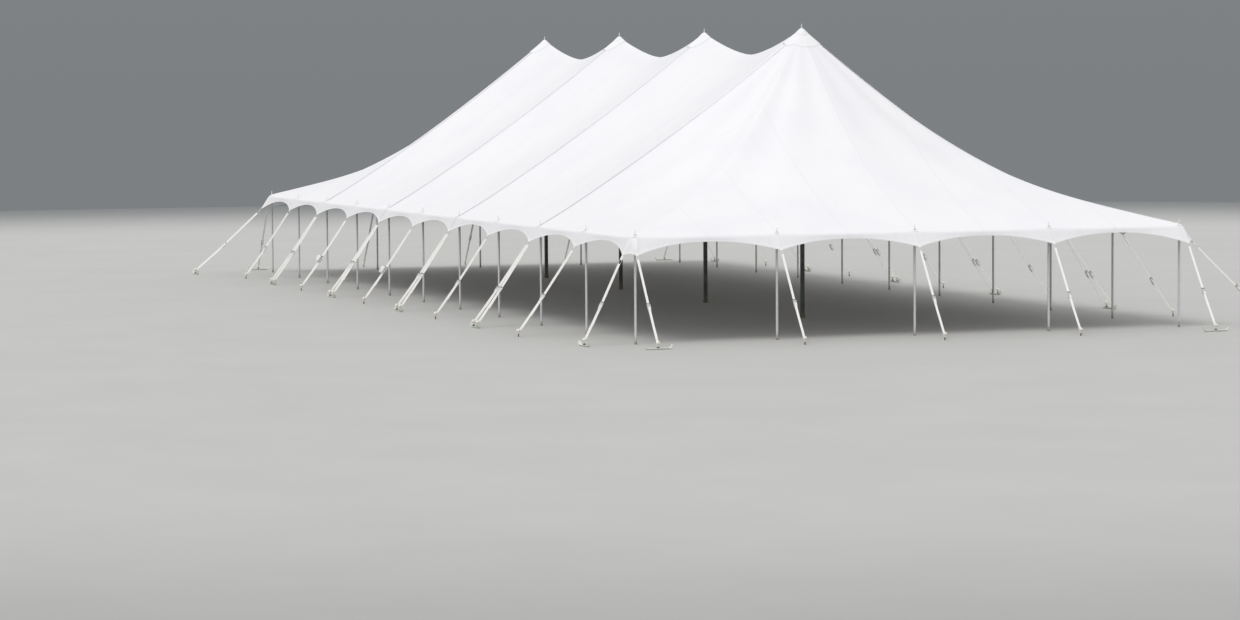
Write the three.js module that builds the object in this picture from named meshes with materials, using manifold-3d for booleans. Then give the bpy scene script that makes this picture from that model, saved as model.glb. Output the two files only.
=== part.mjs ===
// Pole tent with four peaks, 40 ft wide and 100 ft long. Millimetres, Z up, ground at z = 0.
// The long axis is X, and the front end is at +X. Left is -Y and right is +Y.
import * as THREE from 'three';
import Module from 'manifold-3d';

const BAY = 3048; // between neighbouring poles, on all four sides
const HALF_LENGTH = 5 * BAY;
const HALF_WIDTH = 2 * BAY;
const EAVE = 2180; // top of the cloth where it lies on the perimeter poles
const PEAK = 6410; // top of the cloth on a centre pole
const SADDLE = 5870; // ridge midway between two centre poles
const CLOTH = 12; // upright thickness of the cloth
const SEAM_GAP = 0.3;
const ROOF_STEPS = 8; // cells across 6096 mm of roof
const RIDGE_POWER = 1.37;

// Fall of the cloth from peak to eave, as polynomials of what is left of the way.
const LACED_RIDGE = [0.86, 0.14];
const HIP = [0.52, -0.655, 2.07, -0.935];
const VALLEY = [0.66, 0.34];
const END_SHARE = 0.5; // the middle of the end face, between laced ridge and hip
const BAY_SAG = 0.035;

const TIP_OUT = 285; // hem points, outward from the pole line and below the eave
const TIP_DROP = 385;
const ARCH_OUT = 100; // hem midway between two poles
const ARCH_DROP = 190;
const CORNER_OUT = 200; // hem midway round a corner
const CORNER_DROP = 260;
const HEM_CLOTH = 9;
const HEM_STEPS = 4; // per bay
const TIP_HALF = 30;
const CORNER_TIP = 60; // corner guys stand this far beyond the last pole
const PAIR_TIP = 45; // guys of two laced sections, from the laced line
const PAIR_STAKE = 150;

const GUY_REACH = 1490; // stakes, outward from the pole line
const LONG_REACH = 2200;
const SHORT_REACH = 1110;
const STRAP_WIDTH = 50;
const STRAP_THICK = 8;
const STRAP_TURN = (62 * Math.PI) / 180; // on the long sides, so that they show their faces
const RING = { from: -40, to: 85, width: 32, thick: 12 };
const RATCHET = { at: 0.58, length: 150, width: 66, thick: 44 };
const STRAP_FOOT = 45; // strap's lower end above the ground
const STAKE = [[13, 0], [13, 108], [35, 124], [35, 150], [14, 170]];
const STAKE_SIDES = 6;
const PLATE = { length: 590, width: 70, thick: 8 };

const SIDE_POLE = [[25, 0], [25, 2119], [9, 2154.5], [9, 2290]];
const SIDE_POLE_SIDES = 8;
const SIDE_HOLE = 10;
const CENTRE_POLE = [[50, 0], [50, 6324], [12, 6380], [12, 6510]];
const CENTRE_POLE_SIDES = 12;
const CENTRE_HOLE = 14;
const HOLE_SIDES = 8;

const COLOURS = { cloth: 0xeeeef4, hem: 0xdcdce2, metal: 0xa9acb0, dark: 0x3d443f };

const wasm = await Module();
wasm.setup();

const at = (x, y, z) => new THREE.Vector3(x, y, z);
const mix = (a, b, t) => a + (b - a) * t;
const fall = (terms, left) => left * terms.reduce((sum, k, i) => sum + k * left ** i, 0);

function roofHeight(x, y) {
  const beyond = Math.abs(x) - 3 * BAY;
  const across = Math.abs(y);
  if (beyond > 0) {
    const far = Math.max(beyond, across);
    const turn = Math.min(beyond, across) / far;
    const start = beyond > across ? END_SHARE : 0;
    const hip = mix(start, 1, turn);
    const left = 1 - far / HALF_WIDTH;
    const sag = BAY_SAG * Math.abs(Math.sin(2 * Math.PI * turn)) * left;
    return EAVE + (PEAK - EAVE) * (mix(fall(LACED_RIDGE, left), fall(HIP, left), hip) - sag);
  }
  const u = Math.abs(((Math.abs(x) / BAY) % 2) - 1);
  const ridge = SADDLE + (PEAK - SADDLE) * (1 - u) ** RIDGE_POWER;
  const left = 1 - across / HALF_WIDTH;
  const valley = Math.sin((u * Math.PI) / 2);
  return EAVE + (ridge - EAVE) * mix(fall(LACED_RIDGE, left), fall(VALLEY, left), valley);
}

// A solid from corner points and triangles, turned outward.
function solid(points, triangles) {
  let volume = 0;
  for (const [a, b, c] of triangles) {
    volume += points[a].dot(points[b].clone().cross(points[c]));
  }
  const faces = volume < 0 ? triangles.map(([a, b, c]) => [a, c, b]) : triangles;
  const vertProperties = new Float32Array(points.flatMap((p) => p.toArray()));
  const triVerts = new Uint32Array(faces.flat());
  return new wasm.Manifold(new wasm.Mesh({ numProp: 3, vertProperties, triVerts }));
}

// A solid through a row of rings with the same number of points each. The two halves of a
// ring are split along the same diagonals, so a twisted sheet keeps its thickness.
function loft(rings) {
  const n = rings[0].length;
  const last = (rings.length - 1) * n;
  const triangles = [];
  for (let r = 0; r < rings.length - 1; r++) {
    for (let i = 0; i < n; i++) {
      const a = r * n + i;
      const b = r * n + ((i + 1) % n);
      if (i < n / 2) triangles.push([a, b, b + n], [a, b + n, a + n]);
      else triangles.push([a, b, a + n], [b, b + n, a + n]);
    }
  }
  for (let i = 1; i < n - 1; i++) {
    triangles.push([0, i + 1, i], [last, last + i, last + i + 1]);
  }
  return solid(rings.flat(), triangles);
}

function turned(profile, sides, x, y) {
  return loft(profile.map(([radius, z]) => Array.from({ length: sides }, (_, i) => {
    const turn = ((i + 0.5) * 2 * Math.PI) / sides;
    return at(x + radius * Math.cos(turn), y + radius * Math.sin(turn), z);
  })));
}

// A straight bar of flat section. wide is the direction of its width.
function bar(from, to, wide, width, thick) {
  const w = wide.clone().multiplyScalar(width / 2);
  const t = to.clone().sub(from).cross(wide).normalize().multiplyScalar(thick / 2);
  return loft([from, to].map((p) => [
    p.clone().add(w).add(t),
    p.clone().sub(w).add(t),
    p.clone().sub(w).sub(t),
    p.clone().add(w).sub(t),
  ]));
}

function joined(parts) {
  return parts.reduce((whole, part) => whole.add(part));
}

function pinHoles(body, poles) {
  return poles.reduce((left, [x, y, radius]) => {
    const drill = turned([[radius, EAVE - 500], [radius, PEAK + 200]], HOLE_SIDES, x, y);
    return left.subtract(drill);
  }, body);
}

// Roof of one section between two stations along X: a top and a bottom grid with a rim.
function roof(x0, x1) {
  const nx = ROOF_STEPS;
  const ny = 2 * ROOF_STEPS;
  const middle = Math.abs(x0 + x1) / 2 < 3 * BAY;
  const points = [];
  for (const drop of [0, CLOTH]) {
    for (let i = 0; i <= nx; i++) {
      for (let j = 0; j <= ny; j++) {
        const x = mix(x0, x1, i / nx);
        const y = mix(-HALF_WIDTH, HALF_WIDTH, j / ny);
        points.push(at(x, y, roofHeight(x, y) - drop));
      }
    }
  }
  const index = (i, j) => i * (ny + 1) + j;
  const under = (nx + 1) * (ny + 1);
  const triangles = [];
  for (let i = 0; i < nx; i++) {
    for (let j = 0; j < ny; j++) {
      const [a, b, c, d] = [index(i, j), index(i + 1, j), index(i + 1, j + 1), index(i, j + 1)];
      const x = mix(x0, x1, (i + 0.5) / nx);
      const fromPeak = middle ? x - Math.sign(x - (x0 + x1) / 2) * BAY - (x0 + x1) / 2 : x;
      const rising = fromPeak * (j + 0.5 - ny / 2) > 0;
      const cell = rising ? [[a, b, c], [a, c, d]] : [[a, b, d], [b, c, d]];
      for (const [p, q, r] of cell) {
        triangles.push([p, q, r], [p + under, r + under, q + under]);
      }
    }
  }
  const rim = [];
  for (let i = 0; i < nx; i++) rim.push(index(i, 0));
  for (let j = 0; j < ny; j++) rim.push(index(nx, j));
  for (let i = nx; i > 0; i--) rim.push(index(i, ny));
  for (let j = ny; j > 0; j--) rim.push(index(0, j));
  rim.forEach((p, k) => {
    const q = rim[(k + 1) % rim.length];
    triangles.push([p, p + under, q + under], [p, q + under, q]);
  });
  return solid(points, triangles);
}

// One cross-section of the hem: eave above, lower edge outward and below.
function hemRing(eave, out, reach, drop) {
  const edge = eave.edge.clone().addScaledVector(out, reach).add(at(0, 0, -drop));
  const inner = edge.clone().addScaledVector(out, -0.8 * HEM_CLOTH);
  inner.z -= 0.6 * HEM_CLOTH;
  const top = eave.top.clone().addScaledVector(out, SEAM_GAP);
  return [top, edge, inner, top.clone().add(at(0, 0, -CLOTH))];
}

// How far the lower edge is down to its points, 1 at a point and 0 midway between two.
function hemShare(place, tips) {
  const after = tips.findIndex((t) => t + TIP_HALF >= place);
  if (after <= 0) {
    const away = after === 0 ? tips[0] - TIP_HALF - place : place - tips.at(-1) - TIP_HALF;
    return away > 0 ? 1 - away / 400 : 1;
  }
  const from = tips[after - 1] + TIP_HALF;
  const to = tips[after] - TIP_HALF;
  return place >= to ? 1 : Math.abs((2 * (place - from)) / (to - from) - 1) ** 2;
}

function hemPlaces(start, end, tips) {
  const places = [start, end, ...tips.flatMap((t) => [t - TIP_HALF, t + TIP_HALF])];
  tips.slice(1).forEach((t, k) => {
    for (let i = 1; i < HEM_STEPS; i++) {
      places.push(mix(tips[k] + TIP_HALF, t - TIP_HALF, i / HEM_STEPS));
    }
  });
  return [...new Set(places)].filter((p) => p >= start && p <= end).sort((a, b) => a - b);
}

// Straight hem. The frame gives where a place along it lies, on the eave line.
function hemRings(line, start, end, tips) {
  return hemPlaces(start, end, tips).map((place) => {
    const share = hemShare(place, tips);
    const eave = { top: line.point(line.squeeze(place)), edge: line.point(place) };
    return hemRing(eave, line.out, mix(ARCH_OUT, TIP_OUT, share), mix(ARCH_DROP, TIP_DROP, share));
  });
}

// The last 60 mm of eave before a corner carry the hem that goes on past the pole.
function squeezed(place, limit) {
  const from = limit - CORNER_TIP;
  const past = Math.abs(place) - from;
  return past > 0 ? Math.sign(place) * (from + (past * 2) / 5) : place;
}

const plateAt = (middle) => [middle - PLATE.length / 2, middle + PLATE.length / 2];

// The two stakes at a laced line stand on one plate, and each section has half of it.
const halfPlate = (laced, way) => [laced + SEAM_GAP * way, laced + (PLATE.length / 2) * way];

// A plate is where it starts and ends along the edge.
function guy(line, place, stakePlace, reach, plate) {
  const tip = line.point(place).addScaledVector(line.out, TIP_OUT - 4);
  tip.z -= TIP_DROP + 3;
  const foot = line.point(stakePlace).addScaledVector(line.out, reach).setZ(STRAP_FOOT);
  const along = foot.clone().sub(tip).normalize();
  const level = line.along.clone().addScaledVector(along, -line.along.dot(along)).normalize();
  const wide = level.clone().applyAxisAngle(along, line.turn);
  const on = (distance) => tip.clone().addScaledVector(along, distance);
  const middle = tip.distanceTo(foot) * RATCHET.at;
  const half = RATCHET.length / 2;
  const parts = [
    bar(on(RING.from), on(RING.to), line.along, RING.width, RING.thick),
    bar(on(RING.to - 10), foot, wide, STRAP_WIDTH, STRAP_THICK),
    bar(on(middle - half), on(middle + half), wide, RATCHET.width, RATCHET.thick),
    turned(STAKE, STAKE_SIDES, foot.x, foot.y),
  ];
  if (plate) {
    const [start, end] = plate.map((p) => line.point(p).addScaledVector(line.out, reach));
    for (const point of [start, end]) point.z = PLATE.thick / 2;
    parts.push(bar(start, end, line.out, PLATE.width, PLATE.thick));
  }
  return joined(parts);
}

function sideLine(side) {
  return {
    turn: side * STRAP_TURN,
    out: at(0, side, 0),
    along: at(1, 0, 0),
    point: (x) => at(x, side * HALF_WIDTH, EAVE),
    squeeze: (x) => squeezed(x, HALF_LENGTH),
  };
}

function endLine(end) {
  return {
    turn: 0,
    out: at(end, 0, 0),
    along: at(0, 1, 0),
    point: (y) => at(end * HALF_LENGTH, y, EAVE),
    squeeze: (y) => squeezed(y, HALF_WIDTH),
  };
}

// Long side of an end section, from its laced line to the corner.
function endSectionSide(end, side) {
  const line = sideLine(side);
  const laced = 3 * BAY * end;
  const corner = (HALF_LENGTH + CORNER_TIP) * end;
  const tips = [laced + PAIR_TIP * end, 4 * BAY * end, corner].sort((a, b) => a - b);
  const ends = [laced + SEAM_GAP * end, corner + TIP_HALF * end].sort((a, b) => a - b);
  const cornerReach = end * side > 0 ? LONG_REACH : SHORT_REACH;
  const hem = loft(hemRings(line, ends[0], ends[1], tips));
  return joined([
    hem,
    guy(line, laced + PAIR_TIP * end, laced + PAIR_STAKE * end, GUY_REACH, halfPlate(laced, end)),
    guy(line, 4 * BAY * end, 4 * BAY * end, GUY_REACH),
    guy(line, corner, corner, cornerReach, plateAt(corner)),
  ]);
}

function middleSectionSide(x0, x1, side) {
  const line = sideLine(side);
  const centre = (x0 + x1) / 2;
  const tips = [x0 + PAIR_TIP, centre, x1 - PAIR_TIP];
  const stakes = [x0 + PAIR_STAKE, centre, x1 - PAIR_STAKE];
  const plates = [halfPlate(x0, 1), null, halfPlate(x1, -1)];
  const hem = loft(hemRings(line, x0 + SEAM_GAP, x1 - SEAM_GAP, tips));
  return joined([hem, ...tips.map((t, i) => guy(line, t, stakes[i], GUY_REACH, plates[i]))]);
}

// Hem round a corner, from the side's last point to the end's first point.
function cornerRings(end, side) {
  const centre = at(end * HALF_LENGTH, side * HALF_WIDTH, EAVE);
  const outside = CORNER_TIP + TIP_HALF;
  const rings = [];
  for (let i = 0; i <= HEM_STEPS; i++) {
    const share = i / HEM_STEPS;
    const swing = (share * 0.9 + 0.05) * (Math.PI / 2);
    const out = at(end * Math.sin(swing), side * Math.cos(swing), 0);
    const bow = 1 - (2 * share - 1) ** 2;
    const x = mix(outside + 2 * SEAM_GAP, TIP_OUT, share);
    const y = mix(TIP_OUT, outside, share);
    const pull = 1 - (bow * (TIP_OUT - CORNER_OUT)) / TIP_OUT;
    const edge = centre.clone().add(at(end * x * pull, side * y * pull, 0));
    const drop = mix(TIP_DROP, CORNER_DROP, bow);
    const top = centre.clone().addScaledVector(out, -SEAM_GAP / 2);
    rings.push(hemRing({ top, edge }, out, 0, drop));
  }
  return rings;
}

function endEdge(end) {
  const line = endLine(end);
  const corner = HALF_WIDTH + CORNER_TIP;
  const tips = [-corner, -BAY, 0, BAY, corner];
  const straight = hemRings(line, -corner - TIP_HALF, corner + TIP_HALF, tips);
  const rings = [
    ...cornerRings(end, -1).slice(0, -1),
    ...straight,
    ...cornerRings(end, 1).slice(0, -1).reverse(),
  ];
  const guys = tips.map((t) => {
    return guy(line, t, t, GUY_REACH, Math.abs(t) === corner ? plateAt(t) : null);
  });
  return joined([loft(rings), ...guys]);
}

const tent = new THREE.Group();
tent.name = 'pole_tent';

function place(name, body, colour) {
  const mesh = body.getMesh();
  const geometry = new THREE.BufferGeometry();
  geometry.setAttribute('position', new THREE.Float32BufferAttribute(mesh.vertProperties, 3));
  geometry.setIndex(Array.from(mesh.triVerts));
  geometry.computeVertexNormals();
  const material = new THREE.MeshStandardMaterial({ color: colour, roughness: 0.6 });
  const item = new THREE.Mesh(geometry, material);
  item.name = name;
  tent.add(item);
}

const stations = Array.from({ length: 11 }, (_, n) => HALF_LENGTH - n * BAY);
const laced = [3 * BAY, BAY, -BAY, -3 * BAY];
const sidePoles = [
  ...stations.map((x, n) => [`pole_left_${n}`, x, -HALF_WIDTH]),
  ...stations.map((x, n) => [`pole_right_${n}`, x, HALF_WIDTH]),
  ...[1, 2, 3].map((k) => [`pole_front_${k}`, HALF_LENGTH, (k - 2) * BAY]),
  ...[1, 2, 3].map((k) => [`pole_back_${k}`, -HALF_LENGTH, (k - 2) * BAY]),
];
const holes = [
  ...sidePoles.map(([, x, y]) => [x, y, SIDE_HOLE]),
  ...laced.map((x) => [x, 0, CENTRE_HOLE]),
];

const holesNear = (low, high) => holes.filter(([x]) => x > low - 50 && x < high + 50);

function placeCloth(name, body, low, high, colour) {
  place(name, pinHoles(body, holesNear(low, high)), colour);
}

for (const [name, x, y] of sidePoles) {
  place(name, turned(SIDE_POLE, SIDE_POLE_SIDES, x, y), COLOURS.metal);
}
laced.forEach((x, i) => {
  place(`centre_pole_${i + 1}`, turned(CENTRE_POLE, CENTRE_POLE_SIDES, x, 0), COLOURS.dark);
});

for (const [word, end] of [['front', 1], ['back', -1]]) {
  const [low, high] = [3 * BAY * end + SEAM_GAP * end, HALF_LENGTH * end].sort((a, b) => a - b);
  placeCloth(`roof_${word}`, roof(low, high), low, high, COLOURS.cloth);
  placeCloth(`guyed_edge_${word}`, endEdge(end), low, high, COLOURS.hem);
  placeCloth(`guyed_edge_${word}_left`, endSectionSide(end, -1), low, high, COLOURS.hem);
  placeCloth(`guyed_edge_${word}_right`, endSectionSide(end, 1), low, high, COLOURS.hem);
}
for (const k of [1, 2, 3]) {
  const [low, high] = [laced[k], laced[k - 1]];
  const cloth = roof(low + SEAM_GAP, high - SEAM_GAP);
  placeCloth(`roof_middle_${k}`, cloth, low, high, COLOURS.cloth);
  placeCloth(`guyed_edge_${k}_left`, middleSectionSide(low, high, -1), low, high, COLOURS.hem);
  placeCloth(`guyed_edge_${k}_right`, middleSectionSide(low, high, 1), low, high, COLOURS.hem);
}

export default tent;
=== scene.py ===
import math
from collections import namedtuple

import bmesh
import bpy
from mathutils import Matrix, Vector, noise


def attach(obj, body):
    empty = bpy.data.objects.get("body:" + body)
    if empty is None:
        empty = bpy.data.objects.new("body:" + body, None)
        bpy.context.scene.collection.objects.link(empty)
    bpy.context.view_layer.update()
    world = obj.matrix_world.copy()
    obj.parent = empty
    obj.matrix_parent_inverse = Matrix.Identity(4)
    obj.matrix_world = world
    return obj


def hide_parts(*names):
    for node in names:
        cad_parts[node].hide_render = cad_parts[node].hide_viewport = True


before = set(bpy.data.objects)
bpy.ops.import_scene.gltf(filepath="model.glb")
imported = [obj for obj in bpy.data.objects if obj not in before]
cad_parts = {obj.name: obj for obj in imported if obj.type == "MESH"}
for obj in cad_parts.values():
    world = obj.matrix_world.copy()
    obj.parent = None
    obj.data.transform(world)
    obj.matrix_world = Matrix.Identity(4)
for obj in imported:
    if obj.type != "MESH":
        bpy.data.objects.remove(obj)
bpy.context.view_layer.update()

# Sizes that the solids have too.
BAY = 3.048
HALF_LENGTH = 5 * BAY
HALF_WIDTH = 2 * BAY
EAVE = 2.180
PEAK = 6.410
SADDLE = 5.870
PEAKS = (3 * BAY, BAY, -BAY, -3 * BAY)
LACED_RIDGE = (0.86, 0.14)  # terms for fall(), as those of the next two lines are
HIP = (0.52, -0.655, 2.07, -0.935)
VALLEY = (0.66, 0.34)
END_SHARE = 0.5  # how much of the hip's shape the end's middle line has
TIP_OUT, TIP_DROP = 0.285, 0.385
ARCH_OUT = 0.100
TIP_HALF = 0.030
CORNER_TIP = 0.060
PAIR_TIP = 0.045
PAIR_STAKE = 0.150
GUY_REACH, LONG_REACH, SHORT_REACH = 1.490, 2.200, 1.110
RATCHET_AT = 0.58
STRAP_FOOT = 0.045
STRAP_WIDTH = 0.050
STRAP_TURN = 62  # degrees, on the long sides
PLATE_LENGTH, PLATE_WIDTH, PLATE_THICK = 0.590, 0.070, 0.008

# The roof's and hem's finer shape, which the solids have more plainly.
RIDGE_POWER = 1.55  # how the ridge falls from a peak to a saddle
RIDGE_ROUND = 0.07  # at a saddle
HIP_EASE = 1.6  # how the end's middle line turns into the hip
BAY_SAG = 0.021  # between the hip and the lines beside it, as a share of the peak's rise
ARCH_DROP = 0.150
ARCH_POWER = 2.15
CORNER_ARCH = (0.264, 0.347)
CLOTH_TIP = (0.256, 0.340)  # out and down to the cloth's point, a link short of the strap
EAVE_SLOPE = (0.882, 0.471)  # out and down, where the roof goes over into the hem
EAVE_FALL = 0.534  # down for each metre out
POLE_RISE, EAVE_DIP = 0.016, 0.008  # up at each side pole, and down all along

# Sizes that only show here.
CLOTH_THICK = 0.0025
PANEL = BAY / 2  # width of a welded panel of cloth
CLOTH_RUN = 1.2  # cloth up the slope for each metre of ground
FLAP_HALF = 0.085
PATCH_RADIUS = 0.42
CAP_RADIUS = 0.150
POLE_PATCH = 0.072
EDGING = 0.030
BEND = 0.085  # from the eave to where the hem turns down
BEND_ROUND = 0.050
LINK = 0.105
CLOTH_BACK = 0.048  # from a strap's start back to the cloth's point
SIDE_TAB = 0.09  # how much further out the link of a corner's side guy is

# Hem points whose guys keep a rolled hank of spare strap.
ROLLED = {"2_left": 0.0, "3_left": -2 * BAY}

# Where the hem's painted shade changes, in metres from the middle: towards the ends, on the
# left, and past the corner poles.
END_SHADE_STEP, LEFT_SHADE_STEP, CORNER_SHADE_STEP = (15.10, 15.26), (6.09, 6.20), (15.24, 15.36)

# The photo's camera, and the light.
LENS, SENSOR = 103.17, 36
CAMERA_PLACE = (82.124, -29.803, 5.176)
CAMERA_RIGHT = Vector((0.33036, 0.94383, -0.00659))
CAMERA_UP = Vector((-0.05734, 0.02704, 0.99799))
DOME_STRENGTH = 0.76
KEY_STRENGTH, KEY_SPREAD = 1.32, 32
KEY_FROM = Vector((0.30, -0.46, 0.84))
FLOOR_RADIUS = 70

UP = Vector((0, 0, 1))

# A guy's places are along its eave, and its reach is out from it.
Guy = namedtuple("Guy", "tip stake reach collar plate")


# ---------------------------------------------------------------- camera, floor and light


def photo_camera():
    """Camera at the photo's place: a long lens, low over the ground, off the front left."""
    data = bpy.data.cameras.new("photo_camera")
    data.sensor_fit = "HORIZONTAL"
    data.sensor_width = SENSOR
    data.lens = LENS
    data.clip_start = 1
    data.clip_end = 600
    camera = bpy.data.objects.new("photo_camera", data)
    bpy.context.scene.collection.objects.link(camera)
    back = CAMERA_RIGHT.cross(CAMERA_UP)
    turn = Matrix((CAMERA_RIGHT, CAMERA_UP, back)).transposed().to_4x4()
    camera.matrix_world = Matrix.Translation(CAMERA_PLACE) @ turn
    bpy.context.scene.camera = camera


def studio_light():
    """An even pale dome, a grey backdrop behind the tent, and one broad key from the left."""
    world = bpy.data.worlds.new("studio")
    world.use_nodes = True
    tree = world.node_tree
    tree.nodes.clear()
    place = put(tree, "ShaderNodeTexCoord").outputs["Generated"]
    height = put(tree, "ShaderNodeSeparateXYZ", {0: place}).outputs["Z"]
    dome = ramp_of(tree, height, (0.0, (0.80, 0.81, 0.83)), (0.7, (1.0, 1.0, 1.0)))
    backdrop = ramp_of(tree, height, (0.0, (0.205, 0.217, 0.225)), (0.30, (0.27, 0.285, 0.295)))
    light = put(tree, "ShaderNodeBackground", {"Color": dome, "Strength": DOME_STRENGTH})
    seen = put(tree, "ShaderNodeBackground", {"Color": backdrop, "Strength": 1.0})
    share = put(tree, "ShaderNodeLightPath").outputs["Is Camera Ray"]
    both = put(tree, "ShaderNodeMixShader", {0: share, 1: light.outputs[0], 2: seen.outputs[0]})
    put(tree, "ShaderNodeOutputWorld", {0: both.outputs[0]})
    bpy.context.scene.world = world

    data = bpy.data.lights.new("key_light", "SUN")
    data.energy = KEY_STRENGTH
    data.angle = math.radians(KEY_SPREAD)
    data.color = (1.0, 0.99, 0.97)
    key = bpy.data.objects.new("key_light", data)
    key.matrix_world = KEY_FROM.to_track_quat("Z", "Y").to_matrix().to_4x4()
    bpy.context.scene.collection.objects.link(key)
    bpy.context.scene.view_settings.view_transform = "Standard"
    bpy.context.scene.view_settings.look = "None"


def studio_floor():
    """A round floor under the tent. It is no part of it."""
    floor = bmesh.new()
    bmesh.ops.create_circle(floor, cap_ends=True, segments=128, radius=FLOOR_RADIUS)
    floor_mesh = bpy.data.meshes.new("floor")
    floor.to_mesh(floor_mesh)
    floor.free()
    floor_mesh.materials.append(FINISH["floor"])
    floor_object = bpy.data.objects.new("floor", floor_mesh)
    bpy.context.scene.collection.objects.link(floor_object)


# ---------------------------------------------------------------- node helpers


def put(tree, kind, sockets=None, **settings):
    """Adds a node with its settings, and fills its sockets with values or links."""
    made = tree.nodes.new(kind)
    for name, value in settings.items():
        setattr(made, name, value)
    for key, value in (sockets or {}).items():
        if isinstance(value, bpy.types.NodeSocket):
            tree.links.new(value, made.inputs[key])
        else:
            made.inputs[key].default_value = value
    return made


def calc(tree, operation, *values):
    """A sum, a product or another operation on numbers and links."""
    made = put(tree, "ShaderNodeMath", dict(enumerate(values)), operation=operation)
    return made.outputs[0]


def band(tree, value, low, high, start=0.0, end=1.0):
    """A smooth step of value between low and high."""
    sockets = {0: value, 1: low, 2: high, 3: start, 4: end}
    made = put(tree, "ShaderNodeMapRange", sockets, interpolation_type="SMOOTHSTEP")
    return made.outputs[0]


def ramp_of(tree, value, *stops):
    """A colour ramp with a colour at each of its stops."""
    made = put(tree, "ShaderNodeValToRGB", {0: value})
    for element, (at, colour) in zip(made.color_ramp.elements, stops):
        element.position = at
        element.color = (*colour, 1)
    return made.outputs[0]


def blend_colours(tree, share, first, second, way="MIX"):
    """From the first colour to the second by the share, or one laid over the other."""
    made = put(tree, "ShaderNodeMix", data_type="RGBA", blend_type=way)
    for socket, value in ((0, share), (6, first), (7, second)):
        if isinstance(value, bpy.types.NodeSocket):
            tree.links.new(value, made.inputs[socket])
        elif socket:
            made.inputs[socket].default_value = (*value, 1)
        else:
            made.inputs[socket].default_value = value
    return made.outputs[2]


def tinted(tree, mask, weight, colour, other):
    """A colour with another mixed in where the mask is, at the given weight."""
    return blend_colours(tree, calc(tree, "MULTIPLY", mask, weight), colour, other)


def line_at(tree, value, middle, inner, outer):
    """A line where the value is at the middle, full to inner away and gone at outer."""
    away = calc(tree, "ABSOLUTE", calc(tree, "SUBTRACT", value, middle))
    return calc(tree, "SUBTRACT", 1.0, band(tree, away, inner, outer))


def noise_at(tree, place, scale, detail=3.0, rough=0.55, stretch=None):
    """Noise over a place, whose axes may be stretched."""
    if stretch:
        place = put(tree, "ShaderNodeMapping", {0: place, 3: stretch}).outputs[0]
    sockets = {"Vector": place, "Scale": scale, "Detail": detail, "Roughness": rough}
    return put(tree, "ShaderNodeTexNoise", sockets).outputs[0]


def shared_group(name, inputs, outputs):
    """An empty node group with its sockets, and its input and output nodes."""
    tree = bpy.data.node_groups.new(name, "ShaderNodeTree")
    for socket, kind in inputs:
        tree.interface.new_socket(socket, in_out="INPUT", socket_type=kind)
    for socket in outputs:
        tree.interface.new_socket(socket, in_out="OUTPUT", socket_type="NodeSocketFloat")
    return tree, put(tree, "NodeGroupInput").outputs, put(tree, "NodeGroupOutput").inputs


def scrim_group():
    """Plain weave that shows through the coating: threads over and under each other."""
    tree, given, out = shared_group(
        "scrim_weave", [("Place", "NodeSocketVector"), ("Pitch", "NodeSocketFloat")], ["Height"]
    )
    axes = put(tree, "ShaderNodeSeparateXYZ", {0: given["Place"]}).outputs
    across = calc(tree, "DIVIDE", calc(tree, "MULTIPLY", axes[0], math.pi), given["Pitch"])
    along = calc(tree, "DIVIDE", calc(tree, "MULTIPLY", axes[1], math.pi), given["Pitch"])
    over = calc(tree, "MULTIPLY", calc(tree, "SINE", across), calc(tree, "COSINE", along))
    height = calc(tree, "MULTIPLY_ADD", over, 0.5, 0.5)
    tree.links.new(height, out["Height"])
    return tree


def weather_group():
    """Rain streaks that run down the cloth, and broad dusty clouds."""
    tree, given, out = shared_group(
        "weathering", [("Place", "NodeSocketVector"), ("Size", "NodeSocketFloat")],
        ["Streaks", "Clouds"],
    )
    scaled = put(tree, "ShaderNodeVectorMath", {0: given["Place"]}, operation="SCALE")
    tree.links.new(given["Size"], scaled.inputs["Scale"])
    streaks = noise_at(tree, scaled.outputs[0], 1.0, 5.0, 0.6, (5.0, 0.35, 1.0))
    clouds = noise_at(tree, scaled.outputs[0], 0.55, 4.0, 0.5)
    tree.links.new(band(tree, streaks, 0.48, 0.78), out["Streaks"])
    tree.links.new(band(tree, clouds, 0.35, 0.75), out["Clouds"])
    return tree


def ground_dust_group():
    """Dust and splashes that thin out above the ground."""
    tree, given, out = shared_group(
        "ground_dust", [("Place", "NodeSocketVector"), ("Reach", "NodeSocketFloat")], ["Mask"]
    )
    axes = put(tree, "ShaderNodeSeparateXYZ", {0: given["Place"]}).outputs
    rise = calc(tree, "DIVIDE", axes[2], given["Reach"])
    blotch = noise_at(tree, given["Place"], 28.0, 4.0, 0.65)
    edge = calc(tree, "MULTIPLY_ADD", blotch, 1.1, -0.15)
    mask = band(tree, calc(tree, "SUBTRACT", edge, rise), -0.25, 0.45)
    tree.links.new(mask, out["Mask"])
    return tree


def metal_group():
    """Zinc flakes, fine scratches and rubbed spots of metal."""
    tree, given, out = shared_group(
        "metal_surface", [("Place", "NodeSocketVector"), ("Flake", "NodeSocketFloat")],
        ["Flakes", "Scratches", "Rubbed"],
    )
    cells = put(tree, "ShaderNodeTexVoronoi", {"Vector": given["Place"], "Scale": given["Flake"]})
    tone = put(tree, "ShaderNodeSeparateColor", {0: cells.outputs["Color"]}).outputs[0]
    scratch = noise_at(tree, given["Place"], 60.0, 4.0, 0.7, (1.0, 1.0, 0.06))
    rubbed = noise_at(tree, given["Place"], 9.0, 5.0, 0.7)
    tree.links.new(tone, out["Flakes"])
    tree.links.new(scratch, out["Scratches"])
    tree.links.new(band(tree, rubbed, 0.56, 0.70), out["Rubbed"])
    return tree


def use(tree, group, **sockets):
    """Puts a shared group into a material with its own values. Returns the outputs."""
    return put(tree, "ShaderNodeGroup", sockets, node_tree=GROUPS[group]).outputs


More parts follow.
